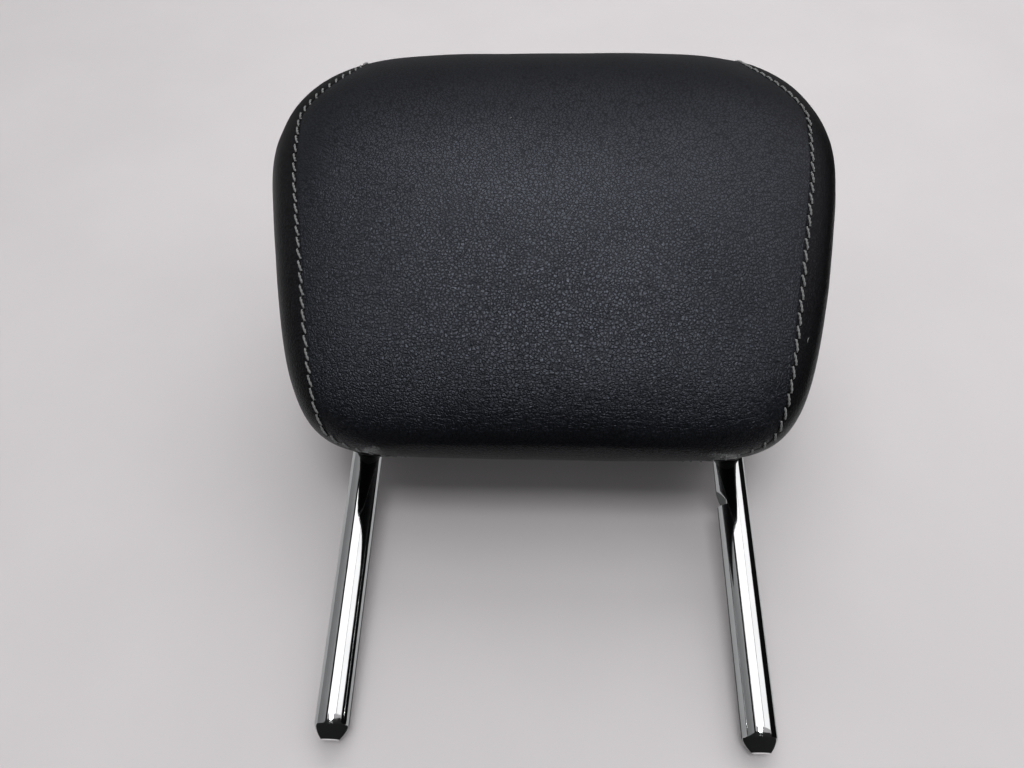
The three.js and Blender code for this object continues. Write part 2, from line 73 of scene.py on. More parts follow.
# Pad
PAD_WIDTH = 258 * MM
CROWN_NARROWING = 23 * MM
FOOT_NARROWING = 49 * MM
PAD_HEIGHT = 188 * MM
PAD_DEPTH = 112 * MM
PAD_CENTRE = Vector((0, -42.5, 211)) * MM
PAD_LEAN = math.radians(15)
NARROWING_START = 28 * MM
NARROWING_POWER = 1.3
UNDERSIDE_RISE = 56 * MM
SIDE_SQUARENESS = (8.4, 5)
PROFILE_SQUARENESS = (4, 2.05)

# Cover seams: half the width of the centre panel at the face, crown, lower edge and underside
SEAM_FACE = 110.6 * MM
SEAM_CROWN = 86.7 * MM
SEAM_LOWER_EDGE = 90.8 * MM
SEAM_UNDERSIDE = 57.5 * MM
SEAM_CROWN_START_SHARE = 0.35
SEAM_CROWN_SHARE = 0.42
SEAM_NARROWING_START_SHARE = 0.15
SEAM_LOWER_EDGE_SHARE = 0.8
SEAM_NARROWING_POWER = 1.5
SEAM_MOST_SHARE = 0.97
COVER_THICKNESS = 2.5 * MM
FIT_GAP = 0.3 * MM

# Topstitching, on the side panels' edges
STITCH_OFFSET = 0.55 * MM
STITCH_PITCH_LOW = 5.5 * MM
STITCH_PITCH_HIGH = 4.1 * MM
STITCH_SLANT = math.radians(16)
THREAD_WIDTH = 1.02 * MM
THREAD_START = math.radians(-112)
THREAD_END = math.radians(238)

# Closure on the underside
CLOSURE_BACK = 11 * MM
CLOSURE_GAP = 1.6 * MM
CLOSED_GAP = 0.02 * MM
CLOSURE_HALF_LENGTH = 52 * MM
CLOSURE_FADE = 6 * MM
CLOSURE_SEARCH = (math.radians(190), math.radians(262))
CLOSURE_SEARCH_STEPS = 50

# Bezels
BEZEL_FLANGE_RADIUS = 12.5 * MM
BEZEL_FLANGE_THICKNESS = 2.4 * MM

PANEL_ROWS = 460
SIDE_ROWS = 480
SIDE_WORDS = {-1: "left", 1: "right"}


# Surface of the pad

def smooth(value):
    share = np.clip(value, 0, 1)
    return share * share * (3 - 2 * share)


def lerp(start, end, share):
    return start + (end - start) * share


def square_circle(angle, squareness):
    c, s = np.cos(angle), np.sin(angle)
    radius = (np.abs(c) ** squareness + np.abs(s) ** squareness) ** (-1 / squareness)
    return radius * c, radius * s


def crown_share(around):
    return smooth(0.5 + 0.5 * np.sin(around))


def side_squareness(around):
    return lerp(*SIDE_SQUARENESS, crown_share(around))


def profile(around):
    return square_circle(around, lerp(*PROFILE_SQUARENESS, crown_share(around)))


def half_width(level):
    start = NARROWING_START / (PAD_HEIGHT / 2)
    low = np.maximum(0, (start - level) / (1 + start))
    high = np.maximum(0, level)
    return PAD_WIDTH / 2 - FOOT_NARROWING / 2 * low ** NARROWING_POWER - CROWN_NARROWING / 2 * high ** 2


def pad_point(across, around, inset):
    """Points of the pad. around runs face 0, crown, back, underside; across runs from side to side."""
    keep, sideways = square_circle(across, side_squareness(around))
    forward, upward = profile(around)
    level = keep * upward
    x = sideways * (half_width(level) - inset)
    ahead = keep * forward * (PAD_DEPTH / 2 - inset)
    above = level * (PAD_HEIGHT / 2 - inset)
    rise = UNDERSIDE_RISE / 2 * keep * forward * np.maximum(0, -level) ** 2
    y = PAD_CENTRE.y - ahead - above * math.tan(PAD_LEAN)
    return np.stack(np.broadcast_arrays(x, y, PAD_CENTRE.z + above - rise), -1)


def seam_half_width(around):
    height = np.sin(around)
    upper = lerp(SEAM_FACE, SEAM_CROWN, smooth((height - SEAM_CROWN_START_SHARE) / SEAM_CROWN_SHARE))
    drop = (SEAM_NARROWING_START_SHARE - height) / (SEAM_NARROWING_START_SHARE + SEAM_LOWER_EDGE_SHARE)
    edge = lerp(SEAM_FACE, SEAM_LOWER_EDGE, np.clip(drop, 0, 1) ** SEAM_NARROWING_POWER)
    below = smooth((-height - SEAM_LOWER_EDGE_SHARE) / (1 - SEAM_LOWER_EDGE_SHARE))
    return np.where(height >= SEAM_NARROWING_START_SHARE, upper, lerp(edge, SEAM_UNDERSIDE, below))


def seam_angle(around, offset):
    """The across angle of the seam, or of a line at an offset from it towards the side."""
    squareness = side_squareness(around)
    share = (seam_half_width(around) + offset) / half_width(profile(around)[1])
    share = np.minimum(share, SEAM_MOST_SHARE)
    return np.arctan2(share, (1 - share ** squareness) ** (1 / squareness))


def soft_noise(points, scale, seed, waves=14):
    """Soft noise from -1 to 1, made of seeded plane waves of about the given length."""
    draw = np.random.default_rng(seed)
    total = np.zeros(points.shape[:-1])
    for _ in range(waves):
        heading = draw.normal(size=3)
        heading *= 2 * math.pi / (scale * draw.uniform(0.7, 1.5) * np.linalg.norm(heading))
        total += np.sin(points @ heading + draw.uniform(0, 2 * math.pi))
    return total / math.sqrt(waves) / 1.4


# The stitch line, measured along its length

LINE_STEPS = 4000
line_angles = np.linspace(THREAD_START, THREAD_END, LINE_STEPS)
line_points = pad_point(seam_angle(line_angles, STITCH_OFFSET), line_angles, 0)
line_lengths = np.concatenate([[0], np.cumsum(np.linalg.norm(np.diff(line_points, axis=0), axis=1))])
line_pitch = lerp(STITCH_PITCH_LOW, STITCH_PITCH_HIGH, smooth((np.sin(line_angles) + 0.45) / 1.1))
line_count = np.concatenate([[0], np.cumsum(np.diff(line_lengths) / line_pitch[1:])])


def stitch_phase(around):
    """How many stitches lie between the start of the line and a place along it."""
    turned = (around - THREAD_START) % (2 * math.pi) + THREAD_START
    return np.interp(turned, line_angles, line_count)


def stitch_place(count):
    return np.interp(count, line_count, line_angles)


# Meshes

def add_object(name, data):
    made = bpy.data.objects.new(name, data)
    bpy.context.scene.collection.objects.link(made)
    return made


def mesh_object(name, points, faces, sharp=math.radians(50)):
    mesh = bpy.data.meshes.new(name)
    mesh.from_pydata([tuple(p) for p in points], [], [tuple(int(i) for i in f) for f in faces])
    mesh.validate()
    mesh.update()
    mesh.shade_smooth()
    mesh.set_sharp_from_angle(angle=sharp)
    piece = add_object(name, mesh)
    face_outwards(piece)
    return piece


def face_outwards(piece):
    shape = bmesh.new()
    shape.from_mesh(piece.data)
    bmesh.ops.recalc_face_normals(shape, faces=shape.faces)
    shape.to_mesh(piece.data)
    shape.free()


def grid_faces(rows, columns, loop_rows, loop_columns):
    """Quads between the points of a grid that may close on itself either way."""
    across = columns if loop_columns else columns - 1
    along = rows if loop_rows else rows - 1
    i, j = np.meshgrid(np.arange(along), np.arange(across), indexing="ij")
    i, j = i.ravel(), j.ravel()
    k, m = (i + 1) % rows, (j + 1) % columns
    return np.stack([i * columns + j, k * columns + j, k * columns + m, i * columns + m], 1).tolist()


def tube_faces(rows, sides, base=0):
    """The faces of a tube with closed ends, whose first point has the base number."""
    faces = grid_faces(rows, sides, False, True)
    faces.append(list(range(sides)))
    faces.append([(rows - 1) * sides + j for j in reversed(range(sides))])
    return [[base + number for number in face] for face in faces]


def finish_piece(piece, material, replaced=()):
    piece.data.materials.clear()
    piece.data.materials.append(material)
    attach(piece, "root")
    if replaced:
        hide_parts(*replaced)
    return piece


def cut_with(piece, cutter):
    """Takes the cutter's shape out of the piece and removes the cutter."""
    modifier = piece.modifiers.new("cut", "BOOLEAN")
    modifier.operation = "DIFFERENCE"
    modifier.solver = "EXACT"
    modifier.object = cutter
    graph = bpy.context.evaluated_depsgraph_get()
    cut = bpy.data.meshes.new_from_object(piece.evaluated_get(graph))
    piece.modifiers.clear()
    piece.data = cut
    bpy.data.objects.remove(cutter)


# Swell of the cover: the pad as a coarse cloth, held along the seams and blown up by the foam inside

SWELL_ROWS = 100
SWELL_INNER = 26
SWELL_OUTER = 7
SWELL_START_INSET = 2 * MM
SWELL_MOST = 1.7 * MM
SWELL_AT_SEAM = 0.2 * MM
SWELL_PRESSURE = 4.0
SWELL_FRAMES = 20
SWELL_TOP_PERCENTILE = 99

# Shares of the way from the middle of the centre panel (0) over a seam (1) to the middle of a side (2)
swell_inner = np.linspace(0, 1, SWELL_INNER // 2 + 1)
swell_outer = np.linspace(1, 2, SWELL_OUTER + 1)[1:-1]
swell_half = np.concatenate([swell_inner, swell_outer])
swell_shares = np.concatenate([-swell_half[:0:-1], swell_half])
swell_angles = np.linspace(0, 2 * math.pi, SWELL_ROWS, endpoint=False)


def across_from_share(share, around):
    seam = seam_angle(around, 0)
    beyond = seam + (math.pi / 2 - seam) * (np.abs(share) - 1)
    return np.sign(share) * np.where(np.abs(share) <= 1, np.abs(share) * seam, beyond)


def share_from_across(across, around):
    seam = seam_angle(around, 0)
    beyond = 1 + (np.abs(across) - seam) / (math.pi / 2 - seam)
    return np.sign(across) * np.where(np.abs(across) <= seam, np.abs(across) / seam, beyond)


def swell_cloth():
    """The coarse pad, closed at both sides, with its seams and the closure pinned."""
    share, around = np.meshgrid(swell_shares, swell_angles)
    grid = pad_point(across_from_share(share, around), around, SWELL_START_INSET)
    points = grid.reshape(-1, 3)
    columns = len(swell_shares)
    faces = grid_faces(SWELL_ROWS, columns, True, False)
    poles = [pad_point(side * math.pi / 2, 0.0, SWELL_START_INSET) for side in (-1, 1)]
    left, right = len(points), len(points) + 1
    for i in range(SWELL_ROWS):
        k = (i + 1) % SWELL_ROWS
        faces.append([left, k * columns, i * columns])
        faces.append([right, i * columns + columns - 1, k * columns + columns - 1])
    cloth = mesh_object("swell", np.concatenate([points, np.array(poles)]), faces)
    held = cloth.vertex_groups.new(name="held")
    seams = [j for j, s in enumerate(swell_shares) if abs(abs(s) - 1) < 1e-6]
    held.add([i * columns + j for i in range(SWELL_ROWS) for j in seams], 1.0, "REPLACE")
    closed = int(np.argmin(np.abs(swell_angles - closure_angle())))
    held.add([closed * columns + j for j in range(columns)], 1.0, "REPLACE")
    return cloth, grid


def simulated_swell():
    """How far the cover stands out of the smooth pad at each point of the coarse grid."""
    cloth, grid = swell_cloth()
    modifier = cloth.modifiers.new("cloth", "CLOTH")
    settings = modifier.settings
    settings.quality = 5
    settings.use_pressure = True
    settings.uniform_pressure_force = SWELL_PRESSURE
    settings.effector_weights.gravity = 0
    settings.vertex_group_mass = "held"
    settings.tension_stiffness = 20
    settings.compression_stiffness = 12
    settings.bending_stiffness = 1.5
    scene = bpy.context.scene
    for number in range(1, SWELL_FRAMES + 1):
        scene.frame_set(number)
    graph = bpy.context.evaluated_depsgraph_get()
    swollen = cloth.evaluated_get(graph).data
    where = np.array([v.co for v in swollen.vertices])[:-2].reshape(grid.shape)
    normals = np.array([v.normal for v in cloth.data.vertices])[:-2].reshape(grid.shape)
    bpy.data.objects.remove(cloth)
    scene.frame_set(1)
    risen = np.sum((where - grid) * normals, -1)
    risen = np.clip(risen / np.percentile(risen, SWELL_TOP_PERCENTILE), 0, 1)
    return risen * SWELL_MOST - SWELL_AT_SEAM


def swell_at(swell, across, around):
    """The swell at any place of the cover, between the points of the coarse grid."""
    across, around = np.broadcast_arrays(across, around)
    row = (around % (2 * math.pi)) / (2 * math.pi) * SWELL_ROWS
    column = np.interp(share_from_across(across, around), swell_shares, np.arange(len(swell_shares)))
    i, j = np.floor(row).astype(int), np.minimum(np.floor(column).astype(int), len(swell_shares) - 2)
    v, w = row - i, column - j
    i, k = i % SWELL_ROWS, (i + 1) % SWELL_ROWS
    near = lerp(swell[i, j], swell[i, j + 1], w)
    far = lerp(swell[k, j], swell[k, j + 1], w)
    return lerp(near, far, v)


# Cover

# Millimetres from the seam, with how deep the leather's edge has rolled in there, and flat beyond
CENTRE_ROLL = ((0.03, 2.0), (0.04, 0.6), (0.07, 0.34), (0.12, 0.18), (0.2, 0.08), (0.32, 0.02))
CENTRE_FLAT = (0.5, 0.9, 1.7, 2.8, 4.3, 6.1, 8.2)
SIDE_ROLL = ((0.03, 2.0), (0.04, 0.55), (0.07, 0.3), (0.12, 0.15), (0.2, 0.06), (0.3, 0.02))
SIDE_FLAT = (0.45, 0.7, 1.0, 1.3, 1.65, 2.1, 2.6, 3.3, 4.2, 5.5, 7.0)
CLOSURE_ROLL = ((0.13, 2.1), (0.14, 1.5), (0.25, 0.95), (0.5, 0.55), (0.85, 0.27), (1.3, 0.09))
CLOSURE_FLAT = (1.9,)
CENTRE_COLUMNS = 59
LINING_COLUMNS = 15
LINING_GAP = 0.2 * MM
LAST_SHARE = 0.992
LINING_SHARES = (0, 0.15, 0.35, 0.6, 0.85, LAST_SHARE)
POLE_FADE = 0.1
DRAWN_DOWN = 0.14 * MM
DRAWN_WIDTH = 0.7 * MM
DRAWN_EVENLY = 0.7
UNDULATION = 0.28 * MM
SHORT_WAVE_SHARE = 0.3
# For each kind of panel: seed, long wave and short wave
CENTRE_WAVES = (3, 85 * MM, 32 * MM)
SIDE_WAVES = (11, 70 * MM, 22 * MM)
FLAT_EDGE = 6 * MM
CROWN_AT_MIDDLE = 3.8 * MM
CROWN_POWER = 2.8
CROWN_AT_SEAM = -0.4 * MM
CROWN_END_SHARE = 0.5
ANGLE_STEP = 0.001


def edge_steps(roll, flat):
    """Distances from an edge with the depths there, in metres."""
    return [(distance * MM, depth * MM) for distance, depth in (*roll, *((far, 0) for far in flat))]


CENTRE_EDGE = edge_steps(CENTRE_ROLL, CENTRE_FLAT)
SIDE_EDGE = edge_steps(SIDE_ROLL, SIDE_FLAT)
CLOSURE_EDGE = edge_steps(CLOSURE_ROLL, CLOSURE_FLAT)


def face_crown(across, around):
    """The face's crown, highest in its middle and gone at the pad's edges."""
    share = np.abs(share_from_across(across, around))
    centre = lerp(CROWN_AT_MIDDLE, CROWN_AT_SEAM, np.minimum(share, 1) ** CROWN_POWER)
    height = np.where(share <= 1, centre, lerp(CROWN_AT_SEAM, 0, smooth(share - 1)))
    return height * smooth((np.cos(around) - CROWN_END_SHARE) / (1 - CROWN_END_SHARE))


def soft_waves(points, seed, long_wave, short_wave):
    short = soft_noise(points, short_wave, seed + 1)
    return soft_noise(points, long_wave, seed) + SHORT_WAVE_SHARE * short


def stitch_pull(distance, around):
    """How deep the thread draws the leather down, deepest where it goes in."""
    phase = 2 * np.pi * stitch_phase(around)
    depth = DRAWN_DOWN * (DRAWN_EVENLY + (1 - DRAWN_EVENLY) * np.cos(phase))
    return depth * np.exp(-((distance - STITCH_OFFSET) / DRAWN_WIDTH) ** 2)


def centre_relief(swell, points, across, around, distance):
    """How far the centre panel stands out of the smooth pad."""
    waves = UNDULATION * soft_waves(points, *CENTRE_WAVES) * smooth(distance / FLAT_EDGE)
    return waves + swell_at(swell, across, around) + face_crown(across, around)


def side_relief(swell, points, across, around, distance):
    """How far a side panel stands out of the smooth pad."""
    waves = UNDULATION * soft_waves(points, *SIDE_WAVES) * smooth(distance / FLAT_EDGE)
    swollen = swell_at(swell, across, around) + face_crown(across, around)
    return waves + swollen - stitch_pull(distance, around)


def closure_angle():
    """The around angle on the underside where the two ends of the centre panel meet."""
    low, high = CLOSURE_SEARCH
    for _ in range(CLOSURE_SEARCH_STEPS):
        middle = (low + high) / 2
        if pad_point(0.0, middle, 0)[1] > CLOSURE_BACK:
            low = middle
        else:
            high = middle
    return (low + high) / 2


def centre_panel_columns():
    """For each column of the panel: side, share of the way across, distance from the seam and depth."""
    inner = np.linspace(-1, 1, CENTRE_COLUMNS)[1:-1]
    left = [(-1, None, distance, depth) for distance, depth in CENTRE_EDGE]
    right = [(1, None, distance, depth) for distance, depth in reversed(CENTRE_EDGE)]
    return left + [(0, share, None, 0.0) for share in inner] + right


def panel_angle(column, around):
    side, share, distance, _ = column
    if side:
        return side * seam_angle(around, -distance)
    return share * seam_angle(around, -CENTRE_EDGE[-1][0])


def centre_panel_rows(column_x):
    """The around angles of each row, which end in rolled edges at the closure."""
    meet = closure_angle()
    ahead, behind = meet + ANGLE_STEP, meet - ANGLE_STEP
    pace = np.linalg.norm(pad_point(0.0, ahead, 0) - pad_point(0.0, behind, 0)) / (2 * ANGLE_STEP)
    distances, depths = np.array(CLOSURE_EDGE).T
    open_share = smooth((CLOSURE_HALF_LENGTH + CLOSURE_FADE / 2 - np.abs(column_x)) / CLOSURE_FADE)
    gap = lerp(CLOSED_GAP, CLOSURE_GAP / 2, open_share)
    start = meet - 2 * math.pi + (gap + distances[-1]) / pace
    end = meet - (gap + distances[-1]) / pace
    body = np.linspace(0, 1, PANEL_ROWS)[:, None] * (end - start)[None, :] + start[None, :]
    first = meet - 2 * math.pi + (gap[None, :] + distances[:-1, None]) / pace
    last = meet - (gap[None, :] + distances[:-1, None]) / pace
    angles = np.concatenate([first, body, last[::-1]])
    insets = np.concatenate([depths[:-1], np.zeros(PANEL_ROWS), depths[:-1][::-1]])
    return angles, insets


def centre_panel(swell):
    columns = centre_panel_columns()
    x_at_closure = np.array([
        pad_point(panel_angle(c, closure_angle()), closure_angle(), 0)[0] for c in columns
    ])
    around, row_inset = centre_panel_rows(x_at_closure)
    outer = []
    for j, column in enumerate(columns):
        a = around[:, j]
        across = panel_angle(column, a)
        plain = pad_point(across, a, 0)
        edge_x = seam_half_width(a)
        distance = column[2] if column[0] else np.maximum(edge_x - np.abs(plain[:, 0]), FLAT_EDGE)
        relief = centre_relief(swell, plain, across, a, distance)
        outer.append(pad_point(across, a, np.maximum(row_inset, column[3]) - relief))
    outer = np.stack(outer, 1)
    inner_shares = np.linspace(1, -1, LINING_COLUMNS)
    middle = around[:, len(columns) // 2]
    inner = np.stack([
        pad_point(share * seam_angle(middle, -LINING_GAP), middle, COVER_THICKNESS) for share in inner_shares
    ], 1)
    grid = np.concatenate([outer, inner], 1)
    return mesh_object("cover_centre", grid.reshape(-1, 3), tube_faces(*grid.shape[:2]))


SIDE_SHARES = np.concatenate([np.linspace(0, 1, 44)[1:-1], [LAST_SHARE]])


def side_panel(side, swell):
    around = np.linspace(0, 2 * math.pi, SIDE_ROWS, endpoint=False)
    rings = []
    for distance, depth in SIDE_EDGE:
        across = side * seam_angle(around, distance)
        plain = pad_point(across, around, 0)
        relief = side_relief(swell, plain, across, around, distance)
        rings.append(pad_point(across, around, depth - relief))
    start = seam_angle(around, SIDE_EDGE[-1][0])
    for share in SIDE_SHARES:
        across = side * lerp(start, math.pi / 2, share)
        plain = pad_point(across, around, 0)
        relief = side_relief(swell, plain, across, around, 2 * FLAT_EDGE)
        rings.append(pad_point(across, around, -relief * smooth((1 - share) / POLE_FADE)))
    lining_start = seam_angle(around, LINING_GAP)
    inner = [
        pad_point(side * lerp(lining_start, math.pi / 2, share), around, COVER_THICKNESS)
        for share in LINING_SHARES
    ]
    loops = rings[::-1] + inner
    points = np.concatenate(loops)
    faces = grid_faces(len(loops), SIDE_ROWS, False, True)
    poles = [pad_point(side * math.pi / 2, 0.0, inset) for inset in (0.0, COVER_THICKNESS)]
    outer_pole, inner_pole = len(points), len(points) + 1
    points = np.concatenate([points, np.array(poles)])
    last = (len(loops) - 1) * SIDE_ROWS
    for j in range(SIDE_ROWS):
        k = (j + 1) % SIDE_ROWS
        faces.append([outer_pole, j, k])
        faces.append([inner_pole, last + k, last + j])
    return mesh_object(f"cover_side_{SIDE_WORDS[side]}", points, faces)


# Topstitching: each stitch is a short length of twisted thread that dips into a hole at both ends

STITCH_STEPS = 14
STRAND_SIDES = 7
STRAND_RADIUS = THREAD_WIDTH * 0.29
STRAND_SPREAD = THREAD_WIDTH * 0.21
STITCH_HUMP = 0.34 * MM
STITCH_DIVE = 0.58 * MM
STITCH_END_POWER = 3.5
STITCH_LENGTHS = (0.95, 1.04)
STITCH_SEED = 21
OFFSET_SPREAD = 0.05 * MM
SLANT_SPREAD = 0.03
STRAND_TAPER = 0.25
TWISTS = 1.5
HOLE_RADIUS = 0.42 * MM
HOLE_STRETCH = 1.25
HOLE_SIDES = 12
HOLE_LIFT = 0.06 * MM


def surface_axes(across, around):
    """The place, outward normal, direction along the seam and direction across, at one point."""
    step = 1e-4
    place = pad_point(across, around, 0)
    along = pad_point(across, around + step, 0) - pad_point(across, around - step, 0)
    over = pad_point(across + step, around, 0) - pad_point(across - step, around, 0)
    along /= np.linalg.norm(along)
    normal = np.cross(along, over)
    normal /= np.linalg.norm(normal)
    if np.dot(normal, place - np.array(PAD_CENTRE)) < 0:
        normal = -normal
    return place, normal, along, np.cross(normal, along)


def stitch_strand(centre_line, sideways, normal, first_turn):
    """Rings of points along one of the two strands that a stitch is twisted from."""
    turn = np.linspace(0, 2 * math.pi, STRAND_SIDES, endpoint=False)
    rings = []
    for share, centre in centre_line:
        angle = first_turn + TWISTS * math.pi * share
        middle = centre + (sideways * math.cos(angle) + normal * math.sin(angle)) * STRAND_SPREAD
        radius = STRAND_RADIUS * (1 - STRAND_TAPER * abs(share) ** STITCH_END_POWER)
        rings += [middle + (sideways * math.cos(t) + normal * math.sin(t)) * radius for t in turn]
    return rings


def stitches(side, swell):
    """All stitches of a seam as one mesh: strands first, then flat discs of painted shade where the holes at
    their ends are.
    """
    draw = np.random.default_rng(STITCH_SEED + side)
    points, faces, hole_shade_faces = [], [], []
    shares = np.linspace(-1, 1, STITCH_STEPS + 1)
    hole_turn = np.linspace(0, 2 * math.pi, HOLE_SIDES, endpoint=False)
    for number in range(int(line_count[-1])):
        around = stitch_place(number + 0.5)
        half = (stitch_place(number + 1) - stitch_place(number)) / 2
        offset = STITCH_OFFSET + draw.normal(0, OFFSET_SPREAD)
        across = side * seam_angle(around, offset)
        place, normal, along, over = surface_axes(across, around)
        both = around + np.array([-half, half])
        ends = pad_point(side * seam_angle(both, offset), both, 0)
        half_length = np.linalg.norm(ends[1] - ends[0]) / 2 * draw.uniform(*STITCH_LENGTHS)
        slant = STITCH_SLANT + draw.normal(0, SLANT_SPREAD)
        heading = along * math.cos(slant) + over * math.sin(slant)
        sideways = np.cross(normal, heading)
        leather = side_relief(swell, place, across, around, offset)
        line = []
        for share in shares:
            height = STITCH_HUMP + leather - abs(share) ** STITCH_END_POWER * STITCH_DIVE
            line.append((share, place + heading * half_length * share + normal * height))
        first_turn = draw.uniform(0, 2 * math.pi)
        for strand in (0, math.pi):
            base = len(points)
            points += stitch_strand(line, sideways, normal, first_turn + strand)
            faces += tube_faces(STITCH_STEPS + 1, STRAND_SIDES, base)
        # Flat discs at both ends of the stitch carry the holes' painted shade.
        for end in (-1, 1):
            base = len(points)
            middle = place + heading * half_length * end + normal * (leather + HOLE_LIFT)
            points += [middle + (heading * math.cos(t) * HOLE_STRETCH + sideways * math.sin(t)) * HOLE_RADIUS
                       for t in hole_turn]
            hole_shade_faces.append([base + j for j in range(HOLE_SIDES)])
    return mesh_object(f"stitches_{SIDE_WORDS[side]}", np.array(points), faces + hole_shade_faces)


# Gives the hole discs their near black colour, which is painted shade for the holes.
def paint_hole_shade(seam, hole):
    seam.data.materials.append(hole)
    for polygon in seam.data.polygons:
        polygon.material_index = int(len(polygon.vertices) == HOLE_SIDES)


# Post frame

TIP_STEPS = 12
LOWER_STEPS = 11
NOTCH_STEPS = 60
UPPER_STEPS = 9
BEND_STEPS = 18
BAR_STEPS = 8
NOTCH_MARGIN = 6 * MM
NOTCH_STEP_WIDTH = 0.001 * MM
POST_SHARP = math.radians(28)


def post_stations():
    """Stations along one leg and half of the crossbar: place, turn of the bar and radius."""
    stations = []
    for share in np.linspace(0, 1, TIP_STEPS + 1):
        ease = (1 - share) ** TIP_POWER
        stations.append((POST_X, share * TIP_LENGTH, 0.0, POST_RADIUS - TIP_INSET * ease))
    low = NOTCH_HEIGHT - NOTCH_MARGIN
    high = NOTCH_HEIGHT + NOTCH_FLOOR + NOTCH_RAMP + NOTCH_MARGIN
    bend_start = CROSSBAR_HEIGHT - BEND_RADIUS
    fine = [*np.linspace(low, high, NOTCH_STEPS + 1)[1:], NOTCH_HEIGHT, NOTCH_HEIGHT + NOTCH_STEP_WIDTH]
    heights = [*np.linspace(TIP_LENGTH, low, LOWER_STEPS + 1)[1:], *sorted(fine)]
    heights += [*np.linspace(high, bend_start, UPPER_STEPS + 1)[1:]]
    for z in heights:
        stations.append((POST_X, z, 0.0, POST_RADIUS))
    for turn in np.linspace(0, math.pi / 2, BEND_STEPS + 1)[1:]:
        x = POST_X - BEND_RADIUS * (1 - math.cos(turn))
        stations.append((x, bend_start + BEND_RADIUS * math.sin(turn), turn, POST_RADIUS))
    for x in np.linspace(POST_X - BEND_RADIUS, 0, BAR_STEPS + 1)[1:]:
        stations.append((x, CROSSBAR_HEIGHT, math.pi / 2, POST_RADIUS))
    return stations


def notch_floor(z):
    """How deep the notch is at a height: a flat step, a short floor and a ramp towards the pad."""
    if z <= NOTCH_HEIGHT:
        return 0.0
    ramp = (z - NOTCH_HEIGHT - NOTCH_FLOOR) / NOTCH_RAMP
    return NOTCH_DEPTH * min(1.0, max(0.0, 1 - ramp))


def post_frame():
    half = post_stations()
    stations = [(x, z, turn, radius, True) for x, z, turn, radius in half]
    stations += [(-x, z, math.pi - turn, radius, False) for x, z, turn, radius in reversed(half[:-1])]
    angles = np.linspace(0, 2 * math.pi, POST_SIDES, endpoint=False)
    points = []
    for x, z, turn, radius, notched in stations:
        for angle in angles:
            out = radius * math.cos(angle)
            px = x + out * math.cos(turn)
            pz = z + out * math.sin(turn)
            if notched and turn == 0:
                px = max(px, POST_X - POST_RADIUS + notch_floor(z))
            points.append((px, radius * math.sin(angle), pz))
    return mesh_object("posts", np.array(points), tube_faces(len(stations), POST_SIDES), POST_SHARP)


# Bezels

BEZEL_SIDES = 96
BEZEL_ROUNDING = 1.0 * MM
BEZEL_ROUNDING_STEPS = 5
BEZEL_SHARP = math.radians(40)
SLEEVE_THICKNESS = 1.6 * MM
# Where the bore opens downwards: millimetres out from the bore and up from the flange's lower side
BORE_ROUNDING = ((0.7, 0), (0.2, 0.25), (0, 0.8))


def skin_height(skins, place_at):
    """How high the cover lies over a place under the pad."""
    hits = [skin.ray_cast(place_at, Vector((0, 0, 1)))[0] for skin in skins]
    return min(hit.z for hit in hits if hit)


def bezel_section(middle, out, top, skins):
    """Radius and height of the points round a bezel's section, in one direction out from the post."""
    bore = POST_RADIUS + FIT_GAP
    sleeve = bore + SLEEVE_THICKNESS
    halfway = (BEZEL_FLANGE_RADIUS + bore) / 2

    def under_cover(radius):
        return skin_height(skins, middle + out * radius) - FIT_GAP

    section = [(BEZEL_FLANGE_RADIUS, under_cover(BEZEL_FLANGE_RADIUS))]
    for lean in np.linspace(0, math.pi / 2, BEZEL_ROUNDING_STEPS + 1)[1:]:
        radius = BEZEL_FLANGE_RADIUS - BEZEL_ROUNDING * (1 - math.cos(lean))
        drop = BEZEL_FLANGE_THICKNESS / 2 + BEZEL_ROUNDING * math.sin(lean)
        section.append((radius, under_cover(radius) - drop))
    section.append((halfway, under_cover(halfway) - BEZEL_FLANGE_THICKNESS))
    low = under_cover(sleeve) - BEZEL_FLANGE_THICKNESS
    section += [(bore + outwards * MM, low + above * MM) for outwards, above in BORE_ROUNDING]
    return section + [(bore, top), (sleeve, top), (sleeve, under_cover(sleeve))]


def bezel(side, skins):
    """A ring that follows the underside round the post, and a sleeve that stands up inside the foam."""
    middle = Vector((side * POST_X, 0, 0))
    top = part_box("post_bezel_right")[1].z
    points = []
    for turn in np.linspace(0, 2 * math.pi, BEZEL_SIDES, endpoint=False):
        out = Vector((math.cos(turn), math.sin(turn), 0))
        for radius, z in bezel_section(middle, out, top, skins):
            points.append(middle + out * radius + Vector((0, 0, z)))
    faces = grid_faces(BEZEL_SIDES, len(points) // BEZEL_SIDES, True, True)
    return mesh_object(f"bezel_{SIDE_WORDS[side]}", np.array(points), faces, BEZEL_SHARP)


# Lint and specks on the cover, where the photograph shows them: picture x and y, length in
# millimetres and turn in the picture in degrees

PALE_LINT = ((511, 118, 1.1, 20), (505, 198, 0.8, 70), (607, 143, 0.7, 120), (808, 340, 2.2, 65))
DARK_SPECKS = ((581, 239, 1.0, 10), (530, 133, 0.8, 100))
PICTURE_MIDDLE = (512, 384)
PICTURE_WIDTH = 1024
FIBRE_RADIUS = 0.16 * MM
FIBRE_BEND = 0.22
FIBRE_TAPER = 0.6
FIBRE_STEPS = 8
FIBRE_SIDES = 6


def hit_distance(hit):
    return hit[3]


